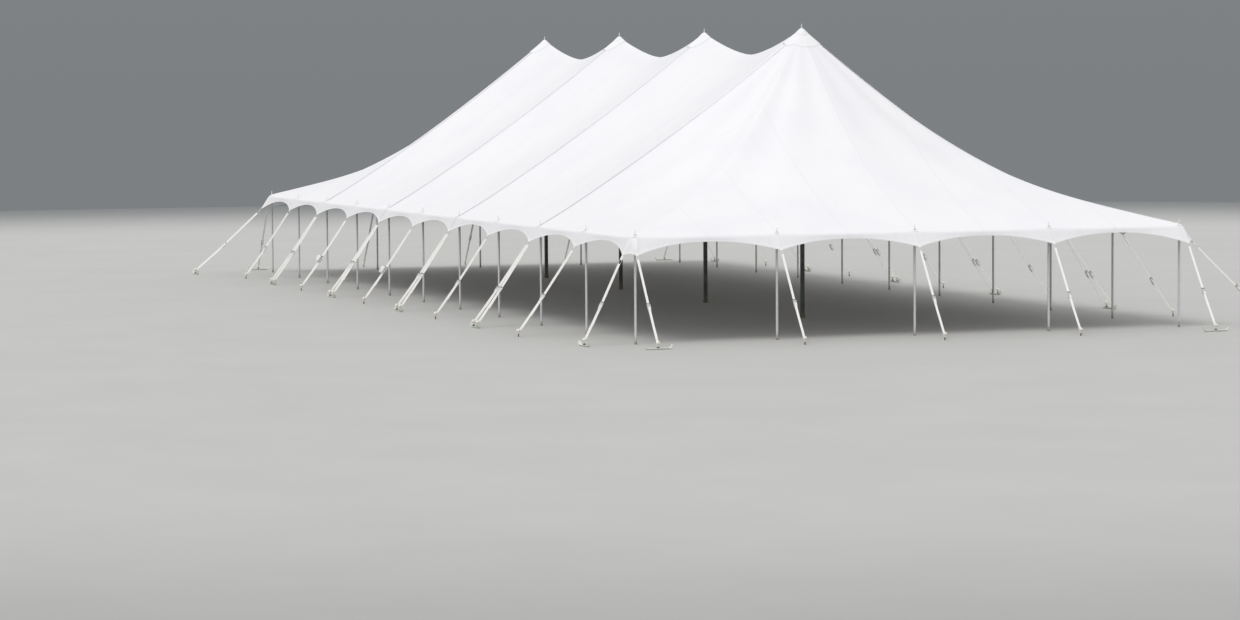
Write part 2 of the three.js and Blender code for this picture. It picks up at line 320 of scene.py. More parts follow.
def new_finish(name, roughness, metallic=0.0, **plain):
    """A material with plain values on its shader. Returns it with its tree."""
    material = bpy.data.materials.new(name)
    material.use_nodes = True
    tree = material.node_tree
    sockets = tree.nodes["Principled BSDF"].inputs
    for socket, value in {"Roughness": roughness, "Metallic": metallic, **plain}.items():
        sockets[socket.replace("_", " ")].default_value = value
    return material, tree


def link_finish(tree, colour, rough, height, strength, distance):
    """Links colour, roughness and the bump of a height to a material's shader."""
    sockets = {"Height": height, "Strength": strength, "Distance": distance}
    bump = put(tree, "ShaderNodeBump", sockets).outputs[0]
    shader = tree.nodes["Principled BSDF"].inputs
    for socket, link in (("Base Color", colour), ("Roughness", rough), ("Normal", bump)):
        if link is not None:
            tree.links.new(link, shader[socket])


def object_place(tree):
    """The place on the piece, in metres."""
    return put(tree, "ShaderNodeTexCoord").outputs["Object"]


def cloth_place(tree):
    """The place on the flat cloth, in metres."""
    return put(tree, "ShaderNodeUVMap", uv_map="metres").outputs[0]


# ---------------------------------------------------------------- finishes


def cloth_finish(name, clean, shaded, streak_colour, streak, seam_tone, roughness, lower=None):
    """Coated cloth in welded panels: along the eave is U and up the slope is V, in metres.

    On a hem V runs down from the eave, and the lower colours paint shade on it past the bend:
    on the long sides, less on the ends, and most in the left corners.
    """
    material, tree = new_finish(name, roughness, Sheen_Weight=0.08)
    place = cloth_place(tree)
    axes = put(tree, "ShaderNodeSeparateXYZ", {0: place}).outputs
    weather = use(tree, "weathering", Place=place, Size=1.0)
    seam = calc(tree, "PINGPONG", axes[0], PANEL / 2)
    overlap = band(tree, seam, 0.016, 0.020, 1.0, 0.0)
    step = line_at(tree, seam, 0.019, 0.0015, 0.006)
    number = calc(tree, "FLOOR", calc(tree, "DIVIDE", axes[0], PANEL))
    panel = put(tree, "ShaderNodeTexWhiteNoise", {"W": number}, noise_dimensions="1D").outputs[0]
    colour = blend_colours(tree, weather["Clouds"], clean, shaded)
    for mask, weight, other in ((weather["Streaks"], streak, streak_colour), (panel, 0.22, shaded),
                                (overlap, 0.40, seam_tone), (step, 0.18, streak_colour)):
        colour = tinted(tree, mask, weight, colour, other)
    # Past the bend the hem is darkened with painted shade, for the light that the hanging cloth
    # lacks.
    if lower:
        shade_on_sides, shade_on_ends, shade_on_corners = lower
        spot = put(tree, "ShaderNodeSeparateXYZ", {0: object_place(tree)}).outputs
        along = calc(tree, "ABSOLUTE", spot["X"])
        leftwards = calc(tree, "MULTIPLY", spot["Y"], -1.0)
        corner = calc(tree, "MULTIPLY", band(tree, along, *CORNER_SHADE_STEP),
                      band(tree, leftwards, *LEFT_SHADE_STEP))
        painted_shade = blend_colours(tree, band(tree, along, *END_SHADE_STEP), shade_on_sides, shade_on_ends)
        painted_shade = blend_colours(tree, corner, painted_shade, shade_on_corners)
        past_bend = band(tree, axes[1], 0.040, 0.125)
        colour = blend_colours(tree, past_bend, colour, painted_shade, "MULTIPLY")
    satin = calc(tree, "MULTIPLY_ADD", weather["Clouds"], 0.14, roughness - 0.05)
    weave = use(tree, "scrim_weave", Place=place, Pitch=0.0022)["Height"]
    slack = noise_at(tree, place, 1.6, 3.0, 0.5, (1.0, 0.45, 1.0))
    height = calc(tree, "MULTIPLY_ADD", slack, 9.0, weave)
    height = calc(tree, "MULTIPLY_ADD", overlap, 1.6, height)
    link_finish(tree, colour, satin, height, 0.35, 0.0009)
    return material


def webbing_finish(name, clean, worn, dirt):
    """Flat woven strap: chevrons along it, a stitched line near each edge, dust low down."""
    material, tree = new_finish(name, 0.72, Sheen_Weight=0.15)
    place = cloth_place(tree)
    axes = put(tree, "ShaderNodeSeparateXYZ", {0: place}).outputs
    across = calc(tree, "ABSOLUTE", axes[0])
    slant = calc(tree, "MULTIPLY_ADD", calc(tree, "PINGPONG", axes[0], 0.006), 1.2, axes[1])
    chevron = calc(tree, "SINE", calc(tree, "MULTIPLY", slant, 1900))
    thread = calc(tree, "SINE", calc(tree, "MULTIPLY", axes[1], 1100))
    stitch = calc(tree, "MULTIPLY", line_at(tree, across, 0.019, 0.0008, 0.0018),
                  calc(tree, "GREATER_THAN", thread, -0.3))
    rubbed = noise_at(tree, place, 14.0, 4.0, 0.6, (3.0, 0.4, 1.0))
    dust = use(tree, "ground_dust", Place=object_place(tree), Reach=0.45)["Mask"]
    colour = blend_colours(tree, band(tree, rubbed, 0.4, 0.8), clean, worn)
    colour = tinted(tree, calc(tree, "MULTIPLY_ADD", chevron, 0.5, 0.5), 0.14, colour, worn)
    colour = tinted(tree, stitch, 0.5, colour, worn)
    colour = tinted(tree, dust, 0.55, colour, dirt)
    rough = calc(tree, "MULTIPLY_ADD", rubbed, 0.2, 0.6)
    height = calc(tree, "MULTIPLY_ADD", stitch, 1.5, chevron)
    link_finish(tree, colour, rough, height, 0.5, 0.0004)
    return material


def zinc_finish(name, light, dark, flake, roughness, dirt_reach, metallic, rust=0.0):
    """Galvanised steel: flakes, scratches along it, dull rubbed spots, earth near the ground."""
    material, tree = new_finish(name, roughness, metallic)
    place = object_place(tree)
    metal = use(tree, "metal_surface", Place=place, Flake=flake)
    colour = blend_colours(tree, metal["Flakes"], dark, light)
    colour = tinted(tree, metal["Rubbed"], 0.45, colour, dark)
    if rust:
        spots = band(tree, noise_at(tree, place, 22.0, 6.0, 0.7), 0.62 - rust / 3, 0.72)
        colour = blend_colours(tree, spots, colour, (0.16, 0.07, 0.035))
    dust = use(tree, "ground_dust", Place=place, Reach=dirt_reach)["Mask"]
    colour = tinted(tree, dust, 0.75, colour, (0.20, 0.17, 0.12))
    rough = calc(tree, "MULTIPLY_ADD", metal["Scratches"], 0.25, roughness - 0.1)
    rough = calc(tree, "MULTIPLY_ADD", dust, 0.3, rough)
    height = calc(tree, "MULTIPLY_ADD", metal["Flakes"], 0.3, metal["Scratches"])
    link_finish(tree, colour, rough, height, 0.25, 0.0006)
    return material


def paint_finish(name, paint, primer, roughness):
    """Dark paint on the centre poles, scuffed where hands and ropes rub and chipped low down."""
    material, tree = new_finish(name, roughness, Coat_Weight=0.15, Coat_Roughness=0.3)
    place = object_place(tree)
    metal = use(tree, "metal_surface", Place=place, Flake=7.0)
    faded = noise_at(tree, place, 2.2, 4.0, 0.6)
    lighter = tuple(min(1, 1.7 * c + 0.02) for c in paint)
    colour = blend_colours(tree, band(tree, faded, 0.35, 0.75), paint, lighter)
    chips = band(tree, noise_at(tree, place, 16.0, 6.0, 0.75, (1.0, 1.0, 0.4)), 0.66, 0.69)
    colour = blend_colours(tree, chips, colour, primer)
    dust = use(tree, "ground_dust", Place=place, Reach=0.5)["Mask"]
    colour = tinted(tree, dust, 0.7, colour, (0.22, 0.19, 0.14))
    rough = calc(tree, "MULTIPLY_ADD", metal["Scratches"], 0.3, roughness - 0.1)
    height = calc(tree, "MULTIPLY_ADD", chips, -2.0, metal["Scratches"])
    link_finish(tree, colour, rough, height, 0.3, 0.0005)
    return material


def plastic_finish(name, clean, worn):
    """Moulded plastic of the stake caps, yellowed and scuffed."""
    material, tree = new_finish(name, 0.42, Coat_Weight=0.1)
    place = object_place(tree)
    scuffs = noise_at(tree, place, 45.0, 5.0, 0.7)
    dust = use(tree, "ground_dust", Place=place, Reach=0.22)["Mask"]
    colour = blend_colours(tree, band(tree, scuffs, 0.45, 0.7), clean, worn)
    colour = tinted(tree, dust, 0.35, colour, (0.30, 0.26, 0.19))
    rough = calc(tree, "MULTIPLY_ADD", scuffs, 0.35, 0.25)
    link_finish(tree, colour, rough, scuffs, 0.2, 0.0008)
    return material


def rope_finish(name):
    """Laid rope, whose strands wind round it. The grooves between the strands are darker: painted
    shade.
    """
    material, tree = new_finish(name, 0.8)
    axes = put(tree, "ShaderNodeSeparateXYZ", {0: cloth_place(tree)}).outputs
    round_it = calc(tree, "MULTIPLY", axes[0], 250)
    lay = calc(tree, "SINE", calc(tree, "MULTIPLY_ADD", axes[1], 420, round_it))
    # Colour follows the strands' rise: darker in the grooves, a painted shade.
    share = calc(tree, "MULTIPLY_ADD", lay, 0.4, 0.5)
    colour = blend_colours(tree, share, (0.34, 0.33, 0.30), (0.62, 0.60, 0.56))
    link_finish(tree, colour, None, lay, 0.7, 0.001)
    return material


def floor_finish(name):
    """Plain pale floor that darkens towards its far edge, so that it meets the backdrop."""
    material, tree = new_finish(name, 0.85)
    place = object_place(tree)
    tone = noise_at(tree, place, 0.35, 5.0, 0.6)
    grain = noise_at(tree, place, 9.0, 3.0, 0.6)
    colour = blend_colours(tree, tone, (0.47, 0.47, 0.46), (0.53, 0.53, 0.52))
    away = put(tree, "ShaderNodeVectorMath", {0: place}, operation="LENGTH").outputs["Value"]
    colour = blend_colours(tree, band(tree, away, 42, 72), colour, (0.17, 0.18, 0.185))
    link_finish(tree, colour, None, grain, 0.1, 0.004)
    return material


# ---------------------------------------------------------------- shape of the roof


def mix(first, second, share):
    """From the first number to the second, by the share."""
    return first + (second - first) * share


def eased(share):
    """From 0 to 1 with a soft start and stop."""
    share = min(1.0, max(0.0, share))
    return share * share * (3 - 2 * share)


def hump(away, reach):
    """1 in the middle, and less the further away, with a soft foot past the reach."""
    return math.exp(-((away / reach) ** 2))


def fall(terms, left):
    """Height left on a line of the roof, from the share of its way that is left to the eave."""
    return left * sum(k * left**power for power, k in enumerate(terms))


def end_height(beyond, across):
    """Cloth of an end section, from how far beyond the last peak and how far across."""
    far = max(beyond, across, 1e-6)
    turn = min(beyond, across) / far
    hip = mix(END_SHARE, 1, turn**HIP_EASE) if beyond > across else turn
    left = max(0.0, 1 - far / HALF_WIDTH)
    sag = BAY_SAG * math.sin(2 * math.pi * turn) ** 2 * left * (1 - hump(far, 1.5))
    return EAVE + (PEAK - EAVE) * (mix(fall(LACED_RIDGE, left), fall(HIP, left), hip) - sag)


def middle_height(x, across):
    """Cloth between two peaks. Its ridge is rounded a little at the saddle."""
    u = abs(((abs(x) / BAY) % 2) - 1)
    ridge = SADDLE + (PEAK - SADDLE) * (1 - u) ** RIDGE_POWER
    valley = math.sin(u * math.pi / 2)

    def at(away):
        left = max(0.0, 1 - away / HALF_WIDTH)
        return EAVE + (ridge - EAVE) * mix(fall(LACED_RIDGE, left), fall(VALLEY, left), valley)

    soft = RIDGE_ROUND * valley
    lift = (at(0) - at(soft)) * hump(across, 0.35)
    return at(math.hypot(across, soft) if across < 1 else across) + lift


def unevenness(x, y):
    """Soft folds that fan out from the peaks, hip creases, and long waves of taut cloth."""
    wave, fold, crease = 0.006, 0.0012, 0.013
    height = wave * noise.noise(Vector((x * 0.5, y * 0.33, 3.1)))
    for number, peak in enumerate(PEAKS):
        away = math.hypot(x - peak, y)
        if away < 4:
            turn = math.atan2(y, x - peak)
            folds = math.sin(7 * turn + 1.3 * number) + 0.5 * math.sin(12 * turn + 2.4 * number)
            height += fold * math.exp(-away / 1.1) * (1 - hump(away, 0.45)) * folds
    beyond = abs(x) - 3 * BAY
    if beyond > 0:
        off, along = (beyond - abs(y)) / math.sqrt(2), (beyond + abs(y)) / math.sqrt(2)
        rise = (1 - hump(along, 0.5)) * math.exp(-along / 2.4)
        height += crease * rise * hump(off, 0.07 + 0.08 * along)
    to_eave = min(HALF_LENGTH - abs(x), HALF_WIDTH - abs(y))
    return height * (1 - hump(to_eave, 0.35))


def pole_lift(x, y):
    """The eave stands up a little at each side pole, and sags between them."""
    near_side = abs(((x / BAY) + 0.5) % 1 - 0.5) * BAY
    near_end = abs(((y / BAY) + 0.5) % 1 - 0.5) * BAY
    to_side, to_end = HALF_WIDTH - abs(y), HALF_LENGTH - abs(x)
    away = min(math.hypot(near_side, to_side), math.hypot(near_end, to_end))
    return POLE_RISE * hump(away, 0.40) - EAVE_DIP


def roof_height(x, y):
    """Top of the roof, uneven as it is, at a place on the ground."""
    beyond = abs(x) - 3 * BAY
    height = end_height(beyond, abs(y)) if beyond > 0 else middle_height(x, abs(y))
    return height + unevenness(x, y) + pole_lift(x, y)


# ---------------------------------------------------------------- mesh helpers


def grid_sheet(columns, rows, place, uv, finish=None):
    """A grid moved to place(i, j). uv(i, j, column, row) lays each face's map, in metres."""
    bm = bmesh.new()
    bmesh.ops.create_grid(bm, x_segments=columns, y_segments=rows, size=1)
    cell = {
        v: (round((v.co.x + 1) / 2 * columns), round((v.co.y + 1) / 2 * rows)) for v in bm.verts
    }
    layer = bm.loops.layers.uv.new("metres")
    for face in bm.faces:
        column = min(cell[v][0] for v in face.verts)
        row = min(cell[v][1] for v in face.verts)
        if finish:
            face.material_index = finish(column, row)
        for loop in face.loops:
            loop[layer].uv = uv(*cell[loop.vert], column, row)
    for v, (i, j) in cell.items():
        v.co = place(i, j)
    bm.normal_update()
    return bm


def ring_spot(i, j, columns, rows, inner, outer):
    """Place on a flat ring round the middle, for a grid that is bent to a ring."""
    away = mix(inner, outer, j / rows)
    turn = 2 * math.pi * i / columns
    return away * math.cos(turn), away * math.sin(turn)


def round_sheet(columns, rows, place, uv, thick):
    """Cloth bent to a ring and closed. It faces up and has its thickness below."""
    bm = grid_sheet(columns, rows, place, uv)
    bmesh.ops.remove_doubles(bm, verts=bm.verts[:], dist=1e-5)
    face_towards(bm, UP)
    thicken(bm, thick)
    return bm


def face_towards(bm, way):
    """Turns the faces over if they look away from the given way."""
    if sum(f.normal.dot(way) * f.calc_area() for f in bm.faces) < 0:
        bmesh.ops.reverse_faces(bm, faces=bm.faces[:])


def thicken(bm, thick, inner_finish=None):
    """Gives a sheet its thickness, on the side that its faces look away from."""
    outer = set(bm.faces)
    bmesh.ops.solidify(bm, geom=bm.faces[:], thickness=thick)
    if inner_finish is not None:
        for face in bm.faces:
            if face not in outer:
                face.material_index = inner_finish


def turned(profile, steps):
    """A closed round body round Z, from its radius and height at each step."""
    bm = bmesh.new()
    verts = [bm.verts.new((radius, 0, height)) for radius, height in profile]
    edges = [bm.edges.new(pair) for pair in zip(verts, verts[1:])]
    bmesh.ops.spin(
        bm, geom=verts + edges, axis=(0, 0, 1), cent=(0, 0, 0),
        angle=2 * math.pi, steps=steps, use_merge=True,
    )
    bmesh.ops.remove_doubles(bm, verts=bm.verts[:], dist=1e-6)
    bmesh.ops.recalc_face_normals(bm, faces=bm.faces[:])
    return bm


def rounded_bar(size, radius, axis, centre):
    """A flat bar of the given sides, with its corners along one axis rounded."""
    bm = bmesh.new()
    shape = Matrix.Translation(centre) @ Matrix.Diagonal((*size, 1))
    bmesh.ops.create_cube(bm, size=1, matrix=shape)
    along = [e for e in bm.edges
             if abs((e.verts[0].co - e.verts[1].co).normalized()[axis]) > 0.99]
    bmesh.ops.bevel(bm, geom=along, offset=radius, offset_type="OFFSET", segments=3,
                    profile=0.5, affect="EDGES", material=-1)
    return bm


def rod(radius, length, steps=12):
    """A round bar along Y, with its ends eased."""
    half, ease = length / 2, radius * 0.15
    bm = turned([(0, -half), (radius - ease, -half), (radius, ease - half),
                 (radius, half - ease), (radius - ease, half), (0, half)], steps)
    bmesh.ops.transform(bm, matrix=Matrix.Rotation(math.pi / 2, 4, "X"), verts=bm.verts[:])
    return bm


def add_part(bm, part, place=None, finish=0, keep=False):
    """Copies a part into a piece, at its place and with one of the piece's finishes."""
    copy = bpy.data.meshes.new("part")
    part.to_mesh(copy)
    first_vert, first_face = len(bm.verts), len(bm.faces)
    bm.from_mesh(copy)
    bpy.data.meshes.remove(copy)
    bm.verts.ensure_lookup_table()
    bm.faces.ensure_lookup_table()
    if place is not None:
        bmesh.ops.transform(bm, matrix=place, verts=bm.verts[first_vert:])
    for face in bm.faces[first_face:]:
        face.material_index += finish
    if not keep:
        part.free()


def soften(bm, angle):
    """Smooth faces, with sharp edges where they turn by more than the angle."""
    limit = math.radians(angle)
    bm.normal_update()
    for face in bm.faces:
        face.smooth = True
    for edge in bm.edges:
        if len(edge.link_faces) == 2 and edge.calc_face_angle(0) > limit:
            edge.smooth = False


def piece(name, bm, finishes, slot, *nodes, angle=35):
    """Makes the object. It rides on the tent and stands for the solids named."""
    soften(bm, angle)
    mesh = bpy.data.meshes.new(name)
    bm.to_mesh(mesh)
    bm.free()
    for finish in finishes:
        mesh.materials.append(FINISH[finish])
    made = bpy.data.objects.new(name, mesh)
    bpy.context.scene.collection.objects.link(made)
    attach(made, "root")
    if nodes:
        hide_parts(*nodes)
    return made


# ---------------------------------------------------------------- roof


def roof_section(name, node, columns, rows, at, uv):
    """One section of the roof, over the places of its grid. Its underside is greyer and warmer:
    painted shade.
    """

    def place(i, j):
        x, y = at(i, j)
        return Vector((x, y, roof_height(x, y)))

    bm = grid_sheet(columns, rows, place, uv)
    face_towards(bm, UP)
    thicken(bm, CLOTH_THICK, 1)
    return piece(name, bm, ("roof_cloth", "roof_inside"), "canopy_cloth", node, angle=60)


def middle_roof(number):
    """Roof between two peaks. Its cells are finer near the peaks and the ridge."""
    columns, rows = 88, 176
    centre = 3 * BAY - (2 * number - 1) * BAY

    def at(i, j):
        s, t = 2 * i / columns - 1, 2 * j / rows - 1
        x = centre + BAY * (0.62 * s + 0.38 * math.sin(math.pi * s / 2))
        return x, HALF_WIDTH * (0.5 * t + 0.5 * t**3)

    def uv(i, j, column, row):
        x, y = at(i, j)
        return x, (HALF_WIDTH - abs(y)) * CLOTH_RUN

    return roof_section(f"middle_roof_{number}", f"roof_middle_{number}", columns, rows, at, uv)


def end_roof(word, end):
    """Roof of an end: a fan from the last peak to the eaves on three sides, creased at hips."""
    columns, rows = 256, 68
    quarter = columns // 4

    def beyond_peak(i, j):
        t, run = j / rows, i / quarter
        far = (0.003 + 0.997 * (0.42 * t + 0.58 * t * t)) * HALF_WIDTH
        if run <= 1:
            return far * run, -far
        if run <= 3:
            return far, far * (run - 2)
        return far * (4 - run), far

    def at(i, j):
        beyond, y = beyond_peak(i, j)
        return end * (3 * BAY + beyond), y

    def uv(i, j, column, row):
        beyond, y = beyond_peak(i, j)
        if quarter <= column < 3 * quarter:
            return y, (HALF_WIDTH - beyond) * CLOTH_RUN
        return beyond, (HALF_WIDTH - abs(y)) * CLOTH_RUN

    return roof_section(f"{word}_roof", f"roof_{word}", columns, rows, at, uv)


def rain_flap(number, line):
    """Strip of cloth over a laced line, sewn along one edge and free along the other."""
    columns, rows = 8, 240
    above, flutter, thick = 0.006, (0.0045, 0.002), 0.0015

    def at(i, j):
        t = 2 * j / rows - 1
        return (2 * i / columns - 1) * FLAP_HALF, HALF_WIDTH * (0.6 * t + 0.4 * t**3)

    def place(i, j):
        across, y = at(i, j)
        free = max(0.0, across / FLAP_HALF) ** 2
        lift = flutter[0] + flutter[1] * noise.noise(Vector((line, y * 0.9, 7.7)))
        x = line + across
        return Vector((x, y, roof_height(x, y) + above + free * lift))

    def uv(i, j, column, row):
        across, y = at(i, j)
        return across + PANEL / 2, y * CLOTH_RUN

    bm = grid_sheet(columns, rows, place, uv)
    face_towards(bm, UP)
    thicken(bm, thick)
    return piece(f"rain_flap_{number}", bm, ("flap_cloth",), "canopy_cloth", angle=60)


def over_flap(across):
    """How far a patch lies over the roof. It rides over the flap of the laced line."""
    plain, on_flap = 0.007, 0.016
    return plain + on_flap * math.exp(-(((across - 0.01) / 0.10) ** 4))


def peak_patch(number, peak):
    """Round double cloth over a peak, stitched down at its edge, with a hole for the pin."""
    columns, rows, hole = 96, 16, 0.016

    def place(i, j):
        x, y = ring_spot(i, j, columns, rows, hole, PATCH_RADIUS)
        return Vector((peak + x, y, roof_height(peak + x, y) + over_flap(x)))

    def uv(i, j, column, row):
        return j / rows * PATCH_RADIUS, i / columns * 2.4

    bm = round_sheet(columns, rows, place, uv, CLOTH_THICK)
    return piece(f"peak_patch_{number}", bm, ("patch_cloth",), "canopy_cloth", angle=60)


def higher(first, second, soft):
    """The higher of two heights, with the turn between them eased."""
    return soft * math.log(math.exp((first - second) / soft) + 1) + second


def peak_cap(number, peak):
    """Cloth boot over the tip of a peak, blunt on top, with a steel collar round the pin."""
    columns, rows, hole = 64, 14, 0.014
    above, stitched, blunt, soft = 0.005, 0.002, 0.012, 0.008

    def place(i, j):
        x, y = ring_spot(i, j, columns, rows, hole, CAP_RADIUS)
        away = mix(hole, CAP_RADIUS, j / rows)
        over = roof_height(peak + x, y) + over_flap(x) + above + stitched * (j == rows - 1)
        top = higher(over, PEAK - 7 * away * away, soft)
        return Vector((peak + x, y, -higher(-top, -PEAK - blunt, soft)))

    def uv(i, j, column, row):
        return j / rows * CAP_RADIUS, i / columns * 0.9

    bm = round_sheet(columns, rows, place, uv, CLOTH_THICK)
    collar = turned([(0.0125, 6.408), (0.027, 6.408), (0.029, 6.418), (0.027, 6.426),
                     (0.0125, 6.430), (0.0125, 6.408)], 20)
    add_part(bm, collar, Matrix.Translation((peak, 0, 0)), 1)
    return piece(f"peak_cap_{number}", bm, ("patch_cloth", "pin_steel"), "canopy_cloth")


def pole_patch(centre_x, centre_y):
    """Round double cloth over a side pole. It follows the roof, and falls on past the eave."""
    columns, rows, hole, above, thick = 32, 4, 0.011, 0.0045, 0.002

    def place(i, j):
        x, y = ring_spot(i, j, columns, rows, hole, POLE_PATCH)
        x, y = centre_x + x, centre_y + y
        past = math.hypot(max(0.0, abs(y) - HALF_WIDTH), max(0.0, abs(x) - HALF_LENGTH))
        inside = (max(-HALF_LENGTH, min(HALF_LENGTH, x)), max(-HALF_WIDTH, min(HALF_WIDTH, y)))
        return Vector((x, y, roof_height(*inside) - EAVE_FALL * past + above))

    def uv(i, j, column, row):
        return j / rows * POLE_PATCH, i / columns * 0.7

    return round_sheet(columns, rows, place, uv, thick)


def pole_patches(word, places):
    """Patch and grommet where each side pole's pin comes through."""
    bm = bmesh.new()
    for x, y in places:
        grommet = turned([(0.0105, 0.004), (0.026, 0.002), (0.030, 0.006), (0.026, 0.011),
                          (0.0105, 0.012), (0.0105, 0.004)], 20)
        add_part(bm, pole_patch(x, y))
        add_part(bm, grommet, Matrix.Translation((x, y, roof_height(x, y))), 1)
    return piece(f"{word}_pole_patches", bm, ("patch_cloth", "pin_steel"), "canopy_cloth")


def lacing(number, line):
    """Rope laced to and fro under a seam between two sections."""
    sides, rows = 6, 640
    span = HALF_WIDTH - 0.12
    thick, below, swing, pitch = 0.004, 0.012, 0.034, 0.3

    def centre(j):
        y = mix(-span, span, j / rows)
        x = line + swing * math.asin(math.sin(y * 2 * math.pi / pitch)) / (math.pi / 2)
        return Vector((x, y, roof_height(x, y) - below))

    def place(i, j):
        turn = 2 * math.pi * i / sides
        along = (centre(min(j + 1, rows)) - centre(max(j - 1, 0))).normalized()
        wide = along.cross(UP).normalized()
        deep = wide.cross(along)
        return centre(j) + (wide * math.cos(turn) + deep * math.sin(turn)) * thick

    def uv(i, j, column, row):
        return i / sides * 0.025, j / rows * 14

    bm = grid_sheet(sides, rows, place, uv)
    bmesh.ops.remove_doubles(bm, verts=bm.verts[:], dist=1e-6)
    bmesh.ops.holes_fill(bm, edges=[e for e in bm.edges if e.is_boundary], sides=sides)
    bmesh.ops.recalc_face_normals(bm, faces=bm.faces[:])
    return piece(f"lacing_{number}", bm, ("rope",), "canopy_cloth", angle=80)


# ---------------------------------------------------------------- hem


def side_line(side):
    """The eave of a long side: its way out, where its corners are, and its places."""
    return {"out": Vector((0, side, 0)), "limit": HALF_LENGTH, "long": True,
            "at": lambda x: Vector((x, side * HALF_WIDTH, EAVE))}


def end_line(end):
    """The eave of an end, described as that of a side is."""
    return {"out": Vector((end, 0, 0)), "limit": HALF_WIDTH, "long": False,
            "at": lambda y: Vector((end * HALF_LENGTH, y, EAVE))}


def tent_edges():
    """The guyed edges.

    A guy has its hem point, its stake's place along the eave, its reach, whether its stake has
    a collar, and the place of its ground plate's middle. The two stakes at a laced line share
    the plate of the first.
    """
    edges = []
    corner = HALF_WIDTH + CORNER_TIP
    hands = ((-1, "left"), (1, "right"))
    for end, word in ((1, "front"), (-1, "back")):
        tips = [-corner, -BAY, 0, BAY, corner]
        guys = [Guy(tip, tip, GUY_REACH, abs(tip) == corner, tip if abs(tip) == corner else None)
                for tip in tips]
        ends = (-corner - TIP_HALF, corner + TIP_HALF)
        edges.append({"word": word, "line": end_line(end), "ends": ends, "tips": tips,
                      "guys": guys, "end": end})
        for side, hand in hands:
            laced, last = 3 * BAY * end, (HALF_LENGTH + CORNER_TIP) * end
            reach = LONG_REACH if end * side > 0 else SHORT_REACH
            guys = [Guy(laced + PAIR_TIP * end, laced + PAIR_STAKE * end, GUY_REACH, True,
                        laced if end > 0 else None),
                    Guy(4 * BAY * end, 4 * BAY * end, GUY_REACH, False, None),
                    Guy(last, last, reach, True, last)]
            edges.append({"word": f"{word}_{hand}", "line": side_line(side), "guys": guys,
                          "ends": tuple(sorted((laced, last + TIP_HALF * end))),
                          "tips": sorted(guy.tip for guy in guys), "end": 0})
    for number in (1, 2, 3):
        centre = 3 * BAY - (2 * number - 1) * BAY
        low, high = centre - BAY, centre + BAY
        for side, hand in hands:
            guys = [Guy(low + PAIR_TIP, low + PAIR_STAKE, GUY_REACH, True, low),
                    Guy(centre, centre, GUY_REACH, False, None),
                    Guy(high - PAIR_TIP, high - PAIR_STAKE, GUY_REACH, True, None)]
            edges.append({"word": f"{number}_{hand}", "line": side_line(side), "guys": guys,
                          "ends": (low, high), "tips": [guy.tip for guy in guys], "end": 0})
    return edges


def hem_edge(place, tips, limit):
    """How far out and down the hem's lower edge is: lowest at its points, high between two."""
    run_out = 0.4  # from the last point to where the edge is as high as an arch
    near = min(tips, key=lambda tip: abs(place - tip))
    low = (TIP_OUT, TIP_DROP) if abs(near) > limit else CLOTH_TIP
    away = abs(place - near)
    if away <= TIP_HALF + 1e-9:
        share = 1
    elif place < tips[0] or place > tips[-1]:
        share = 1 - (away - TIP_HALF) / run_out
    else:
        after = next(k for k, tip in enumerate(tips) if tip > place)
        start, stop = tips[after - 1] + TIP_HALF, tips[after] - TIP_HALF
        share = abs(2 * (place - start) / (stop - start) - 1) ** ARCH_POWER
    return mix(ARCH_OUT, low[0], share), mix(ARCH_DROP, low[1], share)


def squeezed(place, limit):
    """The last 60 mm of eave before a corner carry the hem that goes on past the pole."""
    start = limit - CORNER_TIP
    past = abs(place) - start
    return math.copysign(start + past * 2 / 5, place) if past > 0 else place


def straight_hem(line, ends, tips):
    """Columns of a straight hem, each with its top, its lower edge, its way out and its place."""
    pitch = 0.085
    stops = {*ends}
    stops |= {tip + half for tip in tips for half in (-TIP_HALF, 0, TIP_HALF)}
    stops = sorted(stop for stop in stops if ends[0] <= stop <= ends[1])
    places = []
    for start, stop in zip(stops, stops[1:]):
        count = max(1, round((stop - start) / pitch))
        places += [mix(start, stop, k / count) for k in range(count)]
    columns = []
    for place in (*places, stops[-1]):
        out, drop = hem_edge(place, tips, line["limit"])
        edge = line["at"](place) + line["out"] * out - UP * drop
        columns.append((line["at"](squeezed(place, line["limit"])), edge, line["out"], place))
    return columns


def corner_hem(end, side):
    """Columns round a corner, from the side's last point to the end's first point."""
    centre = Vector((end * HALF_LENGTH, side * HALF_WIDTH, EAVE))
    outside, count, length = CORNER_TIP + TIP_HALF, 14, 0.32
    reach = math.hypot(outside, TIP_OUT)
    columns = []
    for k in range(count):
        share = k / count
        swing = (share * 0.9 + 0.05) * math.pi / 2
        out = Vector((end * math.sin(swing), side * math.cos(swing), 0))
        bow = 1 - (2 * share - 1) ** 2
        turn = mix(math.atan2(outside, TIP_OUT), math.atan2(TIP_OUT, outside), share)
        away = mix(reach, CORNER_ARCH[0], bow)
        drop = mix(TIP_DROP, CORNER_ARCH[1], bow)
        edge = centre + Vector((end * math.sin(turn), side * math.cos(turn), 0)) * away
        place = side * (HALF_WIDTH + outside + length * (1 - share))
        columns.append((centre, edge - UP * drop, out, place))
    return columns


